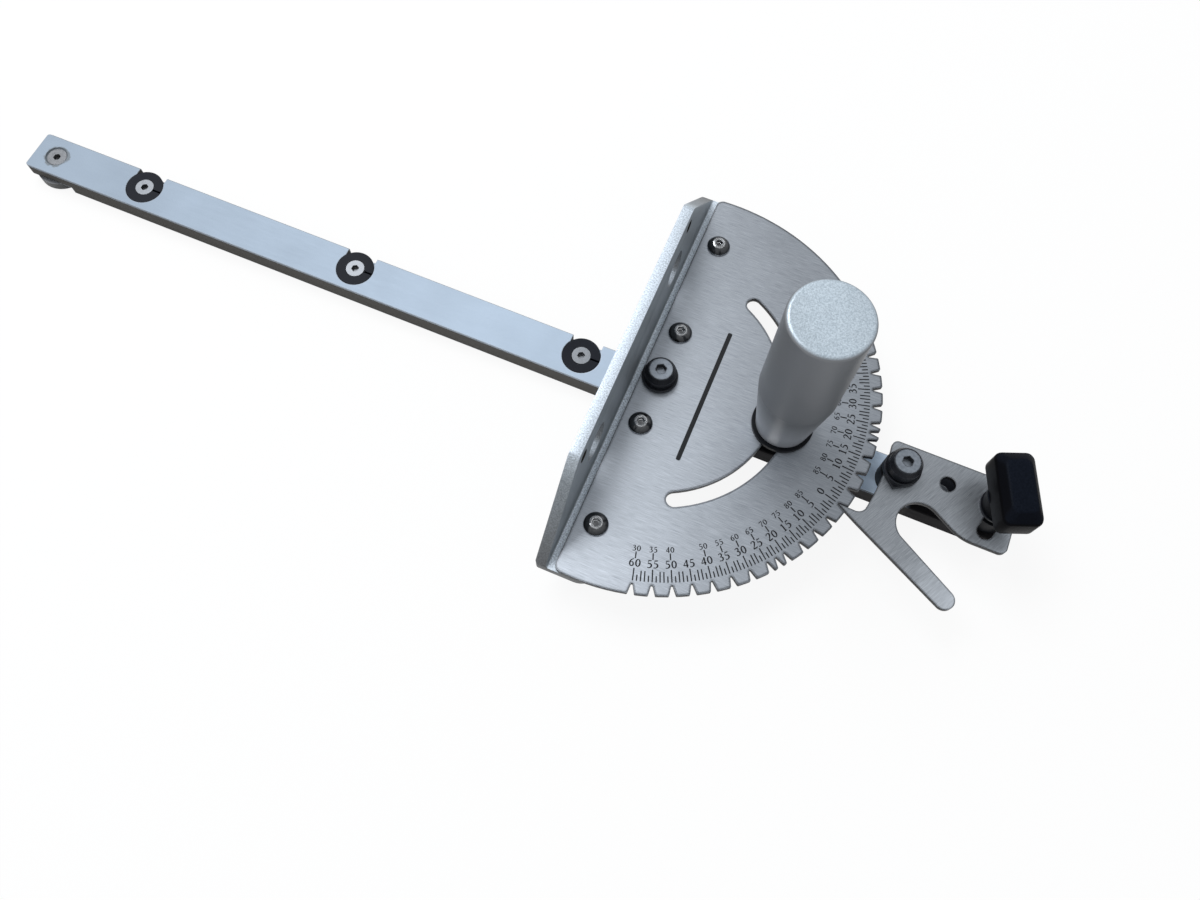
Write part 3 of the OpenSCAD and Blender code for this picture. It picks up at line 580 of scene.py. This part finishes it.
# Ticks end at one radius and differ in length from 0 to 4 degrees past each fifth
# degree. Zero and 45 degrees have no leader line and no number in the inner row.
tick_outer_r = 0.0866
tick_width = 0.0005
tick_lengths = [0.0050, 0.0025, 0.0042, 0.0042, 0.0025]
leader_r, leader_length = 0.0751, 0.0027
unmarked_steps = (0, 9, -9)
ruled_length, ruled_width = 0.0620, 0.0019
ruled_x, ruled_y = 0.0199, -0.0313
patterns = [flat_mark("tick", length, tick_width) for length in tick_lengths]
leader = flat_mark("leader", leader_length, tick_width)
ruled = flat_mark("ruled", ruled_length, ruled_width)
ticks = []
for degree in range(-60, 61):
    inner_r = tick_outer_r - tick_lengths[degree % 5]
    turn = Matrix.Rotation(index_turn + math.radians(degree), 4, "Z")
    ticks.append(copied(patterns[degree % 5], turn @ Matrix.Translation((inner_r, 0, 0))))
for step in range(-12, 13):
    if step not in unmarked_steps:
        turn = Matrix.Rotation(index_turn + math.radians(5 * step), 4, "Z")
        ticks.append(copied(leader, turn @ Matrix.Translation((leader_r, 0, 0))))
line_place = Matrix.Translation((ruled_x, ruled_y, 0)) @ Matrix.Rotation(math.radians(90), 4, "Z")
ticks.append(copied(ruled, line_place))
for spare in (*patterns, leader, ruled):
    bpy.data.objects.remove(spare)
scale_lines = joined(ticks, "scale_lines")
scale_lines.data.materials.clear()
scale_lines.data.materials.append(burnt)
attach(scale_lines, "head")

# Each digit is drawn with a broad pen in a box one high: points of a stroke are
# x, y and the pen's width there, and a stroke that ends where it starts is round.
ROUND = [(0, 1), (0.7, 0.72), (1, 0), (0.7, -0.72), (0, -1), (-0.7, -0.72), (-1, 0), (-0.7, 0.72)]
PEN = 1.42  # how much broader the pen is than the widths below


def oval(x, y, rx, ry, thin=0.065, thick=0.14):
    return [(x + rx * u, y + ry * v, thin + (thick - thin) * abs(u)) for u, v in ROUND]


SIX = [
    (0.58, 0.97, 0.06), (0.34, 0.87, 0.08), (0.16, 0.64, 0.12), (0.11, 0.36, 0.14), (0.18, 0.12, 0.11),
    (0.34, 0.035, 0.07), (0.52, 0.12, 0.11), (0.57, 0.32, 0.14), (0.50, 0.52, 0.10), (0.33, 0.60, 0.06),
    (0.16, 0.50, 0.05),
]
STROKES = {
    "0": [oval(0.34, 0.5, 0.26, 0.46)],
    "1": [
        [(0.36, 0.03, 0.13), (0.36, 0.5, 0.13), (0.36, 0.96, 0.13)],
        [(0.17, 0.03, 0.06), (0.36, 0.03, 0.06), (0.55, 0.03, 0.06)],
        [(0.15, 0.83, 0.05), (0.28, 0.90, 0.07), (0.38, 0.96, 0.09)],
    ],
    "2": [
        [(0.09, 0.76, 0.10), (0.15, 0.92, 0.07), (0.34, 0.97, 0.07), (0.53, 0.88, 0.13),
         (0.53, 0.70, 0.14), (0.38, 0.42, 0.10), (0.10, 0.07, 0.06)],
        [(0.07, 0.06, 0.11), (0.35, 0.06, 0.11), (0.60, 0.06, 0.10), (0.63, 0.18, 0.04)],
    ],
    "3": [
        [(0.10, 0.84, 0.07), (0.22, 0.96, 0.06), (0.45, 0.93, 0.12), (0.50, 0.74, 0.13),
         (0.38, 0.58, 0.07), (0.24, 0.54, 0.05)],
        [(0.24, 0.54, 0.05), (0.48, 0.52, 0.10), (0.58, 0.30, 0.14), (0.46, 0.08, 0.10),
         (0.24, 0.03, 0.06), (0.08, 0.11, 0.10)],
    ],
    "4": [
        [(0.50, 0.97, 0.07), (0.28, 0.63, 0.06), (0.05, 0.29, 0.06)],
        [(0.04, 0.29, 0.08), (0.34, 0.29, 0.08), (0.64, 0.29, 0.08)],
        [(0.48, 0.02, 0.13), (0.48, 0.5, 0.13), (0.48, 0.97, 0.13)],
    ],
    "5": [
        [(0.18, 0.93, 0.10), (0.38, 0.93, 0.10), (0.57, 0.94, 0.08)],
        [(0.21, 0.95, 0.05), (0.18, 0.76, 0.05), (0.15, 0.58, 0.06)],
        [(0.15, 0.56, 0.05), (0.34, 0.60, 0.09), (0.54, 0.48, 0.13), (0.55, 0.24, 0.14),
         (0.38, 0.07, 0.09), (0.20, 0.03, 0.06), (0.07, 0.09, 0.10)],
    ],
    "6": [SIX],
    "7": [
        [(0.07, 0.80, 0.04), (0.10, 0.92, 0.10), (0.34, 0.92, 0.10), (0.62, 0.92, 0.10)],
        [(0.60, 0.92, 0.06), (0.42, 0.50, 0.10), (0.26, 0.02, 0.13)],
    ],
    "8": [oval(0.34, 0.75, 0.20, 0.21, 0.06, 0.11), oval(0.34, 0.28, 0.25, 0.25, 0.06, 0.13)],
    "9": [[(0.68 - x, 1 - y, width) for x, y, width in SIX]],
}


def pen_stroke(points):
    """One stroke as a flat ribbon that is smooth along its length."""
    closed = len(points) == len(ROUND)
    bpy.ops.object.select_all(action="DESELECT")
    bpy.ops.curve.primitive_nurbs_path_add(location=(0, 0, 0))
    stroke = bpy.context.object
    path = stroke.data
    path.splines.clear()
    path.twist_mode = "Z_UP"
    path.extrude = 0.5
    path.resolution_u = 4
    spline = path.splines.new("NURBS")
    spline.points.add(len(points) - 1)
    for point, (x, y, width) in zip(spline.points, points):
        point.co = (x, y, 0, 1)
        point.radius = PEN * width
        point.tilt = math.pi / 2
    spline.order_u = 3
    spline.use_cyclic_u = closed
    spline.use_endpoint_u = not closed
    bpy.ops.object.convert(target="MESH")
    return bpy.context.object


def make_digit(character):
    digit = joined([pen_stroke(points) for points in STROKES[character]], "digit_" + character)
    bpy.ops.object.mode_set(mode="EDIT")
    bpy.ops.mesh.select_all(action="SELECT")
    bpy.ops.mesh.remove_doubles(threshold=0.001)
    bpy.ops.mesh.normals_make_consistent(inside=False)
    bpy.ops.object.mode_set(mode="OBJECT")
    return digit


digits = {c: make_digit(c) for c in STROKES}


def number(value, height, radius, degree):
    """A number whose feet face the rim, centred on its line of the scale."""
    text = str(value)
    pitch, lead, half_high = 0.76, 0.04, 0.5
    placed = []
    turn = Matrix.Rotation(index_turn + math.radians(degree), 4, "Z")
    for k, character in enumerate(text):
        across = (k - len(text) / 2) * pitch + lead
        grow = Matrix.Diagonal((height, height, 1, 1)) @ Matrix.Translation((across, -half_high, 0))
        stand = Matrix.Rotation(math.radians(90), 4, "Z") @ grow
        placed.append(copied(digits[character], turn @ Matrix.Translation((radius, 0, 0)) @ stand))
    return placed


outer_height, outer_r = 0.0032, 0.0795
inner_height, inner_r = 0.0023, 0.0737
figures = []
for step in range(-12, 13):
    figures += number(abs(5 * step), outer_height, outer_r, 5 * step)
    if step not in unmarked_steps:
        figures += number(90 - abs(5 * step), inner_height, inner_r, 5 * step)
for spare in digits.values():
    bpy.data.objects.remove(spare)
scale_numbers = joined(figures, "scale_numbers")
scale_numbers.data.materials.clear()
scale_numbers.data.materials.append(burnt)
bpy.ops.object.mode_set(mode="EDIT")
bpy.ops.mesh.select_all(action="SELECT")
bpy.ops.transform.translate(value=(0, 0, (mark_low + mark_high) / 2))
bpy.ops.object.mode_set(mode="OBJECT")
thicken = scale_numbers.modifiers.new("thickness", "SOLIDIFY")
thicken.thickness = mark_high - mark_low
thicken.offset = 0
bpy.ops.object.modifier_apply(modifier="thickness")
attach(scale_numbers, "head")


# Fence
# An L bracket cut from extruded aluminium, blasted and anodised, on which the
# work rests. Its long edges are eased, and the corners of its lower leg are round.
blasted = speckled(
    "blasted_aluminium", pale=(0.475, 0.53, 0.59), dark=(0.20, 0.23, 0.265), edge=(0.50, 0.55, 0.60),
    size=1900, metallic=0.5, rough=0.50, edge_width=0.0003, bump=0.00006, gloss=0.5, edge_share=0.4,
    side=(0.31, 0.345, 0.375),
)

# The sloped ends are gritty and brown toward the foot, and painted paler toward the top as painted
# light. The strip of the lower leg beside the plate and the top edge are painted bright as painted
# light, and the two small bores are painted dark as painted shade. Each mask is 1 on the faces that it
# names.
tree = blasted.node_tree
shader = tree.nodes["Principled BSDF"]
plain_colour = shader.inputs["Base Color"].links[0].from_socket
facing = split_xyz(tree, tree.nodes.new("ShaderNodeNewGeometry").outputs["True Normal"])
place = tree.nodes.new("ShaderNodeTexCoord").outputs["Object"]
height = split_xyz(tree, place)["Z"]
fence_low, fence_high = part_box("fence_bracket")
strip_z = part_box("protractor_plate")[0].z
grit = put_group(tree, speckle, Size=1900)
tree.links.new(place, grit.inputs["Place"])

on_end = map_value(tree, reckon(tree, "ABSOLUTE", facing["Y"]), 0.0, 1.0, 0.3, 0.6)
toward_foot = map_value(tree, height, 0.85, 0.0, fence_low.z, fence_high.z)
browned = reckon(tree, "MULTIPLY", on_end, toward_foot)
colour = mix_colour(tree, browned, plain_colour, (0.075, 0.070, 0.068, 1))
gritty = map_value(tree, grit.outputs["Speckle"], 0.80, 1.20, 0.35, 0.65)
# Painted light: the sloped ends grow paler toward the top.
toward_top = map_value(tree, height, 0.95, 1.6, fence_high.z - 0.009, fence_high.z)
toned = scaled(tree, colour, reckon(tree, "MULTIPLY", gritty, toward_top))
colour = mix_colour(tree, on_end, colour, toned)

# Painted light on the strip beside the plate.
looks_up = map_value(tree, facing["Z"], 0.0, 1.0, 0.8, 0.95)
at_strip = map_value(tree, height, 1.0, 0.0, strip_z + 0.0003, strip_z + 0.0012)
on_strip = reckon(tree, "MULTIPLY", looks_up, at_strip)
colour = mix_colour(tree, on_strip, colour, scaled(tree, colour, 1.9))

# Painted shade in the two small bores.
bore_y, bore_z = 0.0545, 0.048
mirrored = vector_step(tree, "ABSOLUTE", "Vector", place)
flattened = vector_step(tree, "MULTIPLY", "Vector", mirrored, (0.0, 1.0, 1.0))
from_bore = vector_step(tree, "DISTANCE", "Value", flattened, (0.0, bore_y, bore_z))
in_bore = map_value(tree, from_bore, 1.0, 0.0, 0.0027, 0.0031)
colour = mix_colour(tree, in_bore, colour, (0.014, 0.011, 0.009, 1))

# Painted light on the top edge.
is_level = map_value(tree, facing["Z"], 0.0, 1.0, 0.85, 0.98)
at_top = map_value(tree, height, 0.0, 1.0, fence_high.z - 0.0015, fence_high.z - 0.0005)
from_middle = split_xyz(tree, mirrored)["Y"]
brighter = scaled(tree, colour, map_value(tree, from_middle, 1.75, 1.60, 0.005, 0.058))
colour = mix_colour(tree, reckon(tree, "MULTIPLY", is_level, at_top), colour, brighter)
tree.links.new(colour, shader.inputs["Base Color"])


def pick_edges(piece, wanted):
    """Selects the edges whose two ends wanted accepts; the piece stays in edit mode."""
    bpy.ops.mesh.select_mode(type="EDGE")
    bpy.ops.mesh.select_all(action="DESELECT")
    bpy.ops.object.mode_set(mode="OBJECT")
    points = piece.data.vertices
    for edge in piece.data.edges:
        edge.select = wanted(points[edge.vertices[0]].co, points[edge.vertices[1]].co)
    bpy.ops.object.mode_set(mode="EDIT")


def merged_copy(node, name):
    """A copy of a node with its own mesh, merged to whole faces, which stands for it."""
    bpy.ops.object.select_all(action="DESELECT")
    piece = nodes[node].copy()
    piece.data = nodes[node].data.copy()
    piece.parent = None
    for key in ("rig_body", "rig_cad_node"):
        if key in piece:
            del piece[key]
    piece.name = name
    bpy.context.collection.objects.link(piece)
    piece.select_set(True)
    bpy.context.view_layer.objects.active = piece
    bpy.ops.object.mode_set(mode="EDIT")
    bpy.ops.mesh.select_all(action="SELECT")
    bpy.ops.mesh.remove_doubles(threshold=0.000002)
    bpy.ops.mesh.dissolve_limited(angle_limit=math.radians(0.5))
    bpy.ops.object.mode_set(mode="OBJECT")
    piece.data.materials.clear()
    return piece


fence = merged_copy("fence_bracket", "fence_eased")
free_edge = max(v.co.x for v in fence.data.vertices)
face_side = min(v.co.x for v in fence.data.vertices)
end_y = max(v.co.y for v in fence.data.vertices)
nearness = 0.0002
shortest = 0.001


def upright_at(x):
    """A test for the upright edges at both ends of the bracket, at one x."""
    return lambda a, b: (
        abs(a.z - b.z) > shortest and max(abs(a.x - x), abs(b.x - x)) < nearness
        and min(abs(a.y), abs(b.y)) > end_y - nearness
    )


bpy.ops.object.mode_set(mode="EDIT")
pick_edges(fence, upright_at(free_edge))
bpy.ops.mesh.bevel(offset=0.0090, segments=10, affect="EDGES")
pick_edges(fence, upright_at(face_side))
bpy.ops.mesh.bevel(offset=0.0014, segments=4, affect="EDGES")
bpy.ops.object.mode_set(mode="OBJECT")
rounding = fence.modifiers.new("rounding", "BEVEL")
rounding.width = 0.0007
rounding.segments = 3
rounding.limit_method = "ANGLE"
rounding.angle_limit = math.radians(30)
bpy.ops.object.modifier_apply(modifier="rounding")
bpy.ops.object.shade_smooth_by_angle(angle=math.radians(35))
fence.data.materials.append(blasted)
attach(fence, "head")
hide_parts("fence_bracket")


# Plate screws
# Four button head screws of polished stainless steel hold the plate to the bracket.
# Their round heads are painted dark as a painted reflection, with painted highlights at the rim
# and round the socket.
polished = grained_metal(
    "polished_steel", pale=(0.15, 0.157, 0.165), dark=(0.07, 0.074, 0.08), side=(0.028, 0.030, 0.033),
    edge=(0.80, 0.83, 0.87), stretch=(1200, 1200, 1200), metallic=0.95, rough=0.16, edge_width=0.0008,
    side_metal=0.9,
)
for i in (1, 2, 3, 4):
    finish_node(f"plate_screw_{i}", polished)


# Clamp handle
# A solid turned aluminium grip that clamps the head, blasted and anodised. Its flat top keeps
# its plain colour, its sides are painted darker as painted shade and its foot paler as painted light,
# and a black plastic washer keeps it off the plate.
handle_skin = speckled(
    "handle_skin", pale=(0.64, 0.73, 0.81), dark=(0.38, 0.455, 0.52), edge=(0.62, 0.68, 0.73),
    size=1900, metallic=0.45, rough=0.38, edge_width=0.0004, bump=0.00008, gloss=0.12, edge_share=0.4,
    side=(0.225, 0.233, 0.247),
)
tree = handle_skin.node_tree
shader = tree.nodes["Principled BSDF"]
shader.inputs["Specular Tint"].default_value = (0.35, 0.36, 0.37, 1)
plain_colour = shader.inputs["Base Color"].links[0].from_socket
height = split_xyz(tree, tree.nodes.new("ShaderNodeTexCoord").outputs["Object"])["Z"]
handle_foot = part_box("clamp_handle")[0].z
# Painted light: the foot is painted paler.
painted_light_foot = map_value(tree, height, 2.1, 1.0, handle_foot + 0.010, handle_foot + 0.030)
tree.links.new(scaled(tree, plain_colour, painted_light_foot), shader.inputs["Base Color"])
finish_node("clamp_handle", handle_skin)
finish_node("clamp_washer", spacer_plastic)


# Index lever
# Cut from the same sheet as the protractor plate and brushed across the bar,
# with its tooth in the zero notch and a finger grip on its near side.
# The lever's walls and a band along its edges are painted near black as painted shade, and its tone
# grows paler toward its rear end, by the knob, as painted light.
brushed_lever = grained_metal(
    "brushed_lever", pale=(0.42, 0.455, 0.50), dark=(0.21, 0.23, 0.255), side=(0.006, 0.006, 0.007),
    edge=(0.03, 0.031, 0.034), stretch=(170, 6000, 6000), metallic=0.85, rough=0.36, edge_width=0.0010,
    turn=math.radians(-62), painted_light_drift=((1.0, -0.4, 0.0), 0.128, 0.153, 0.90, 1.60),
)
finish_node("index_lever", brushed_lever)


# Lock knob
# A wing knob moulded in black plastic round a threaded brass insert. It turns on the
# lock stud and presses the lever down through a black washer.
def pick_faces(piece, wanted):
    """Selects the faces for which wanted holds; the piece stays in edit mode."""
    bpy.ops.mesh.select_mode(type="FACE")
    bpy.ops.mesh.select_all(action="DESELECT")
    bpy.ops.object.mode_set(mode="OBJECT")
    for face in piece.data.polygons:
        face.select = wanted(face)
    bpy.ops.object.mode_set(mode="EDIT")


# Painted light and shade: the plastic has almost no gloss, so its faintly blue top is a painted
# reflection, its sides are painted darker as painted shade and its lighter edges are painted
# highlights.
knob_plastic = speckled(
    "knob_plastic", pale=(0.010, 0.013, 0.021), dark=(0.006, 0.008, 0.013), edge=(0.013, 0.015, 0.020),
    size=1500, metallic=0.0, rough=0.30, edge_width=0.0003, bump=0.00003, gloss=0.011,
    side=(0.0045, 0.0045, 0.0055),
)
brass = grained_metal(
    "brass", pale=(0.62, 0.47, 0.25), dark=(0.5, 0.37, 0.19), side=(0.5, 0.37, 0.19),
    edge=(0.8, 0.66, 0.42), stretch=(900, 900, 900), metallic=0.9, rough=0.3, edge_width=0.0003,
)
wing_size = (0.0294, 0.0154, 0.0105)
wing_middle_z = 0.01625
dome_rise, dome_share = 0.0037, (0.70, 0.63, 1)
hub_foot_r, hub_top_r, hub_height, hub_middle_z = 0.0066, 0.0082, 0.0106, 0.0064
knob_turn = math.radians(-68)
bpy.ops.object.select_all(action="DESELECT")
bpy.ops.mesh.primitive_cube_add(size=1, location=(0, 0, 0))
knob = bpy.context.object
knob.name = "knob_rounded"
bpy.ops.object.mode_set(mode="EDIT")
bpy.ops.transform.resize(value=wing_size)
bpy.ops.transform.translate(value=(0, 0, wing_middle_z))
pick_faces(knob, lambda face: face.normal.z > 0.9)
bpy.ops.mesh.extrude_region_move(TRANSFORM_OT_translate={"value": (0, 0, dome_rise)})
bpy.ops.transform.resize(value=dome_share)
pick_edges(knob, lambda a, b: abs(a.z - b.z) > 0.003)
bpy.ops.mesh.bevel(offset=0.0028, segments=6, affect="EDGES")
bpy.ops.object.mode_set(mode="OBJECT")
rounding = knob.modifiers.new("rounding", "BEVEL")
rounding.width = 0.0009
rounding.segments = 4
rounding.angle_limit = math.radians(20)
bpy.ops.object.modifier_apply(modifier="rounding")

bpy.ops.object.select_all(action="DESELECT")
bpy.ops.mesh.primitive_cone_add(
    vertices=48, radius1=hub_foot_r, radius2=hub_top_r, depth=hub_height, location=(0, 0, hub_middle_z))
hub = bpy.context.object
bpy.ops.object.transform_apply(location=True, rotation=True, scale=True)
bpy.ops.object.mode_set(mode="EDIT")
pick_edges(hub, lambda a, b: max(a.z, b.z) < 0.0012)
bpy.ops.mesh.bevel(offset=0.0005, segments=2, affect="EDGES")
bpy.ops.object.mode_set(mode="OBJECT")
knob = joined([knob, hub], "knob_rounded")
washer_low, washer_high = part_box("lock_washer")
axis_x = (washer_low.x + washer_high.x) / 2
knob.data.transform(Matrix.Translation((axis_x, 0, washer_low.z)) @ Matrix.Rotation(knob_turn, 4, "Z"))
bpy.ops.object.shade_smooth_by_angle(angle=math.radians(35))
knob.data.materials.append(knob_plastic)
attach(knob, "knob")
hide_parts("lock_knob")
finish_node("lock_insert", brass)
finish_node("lock_washer", blacked)
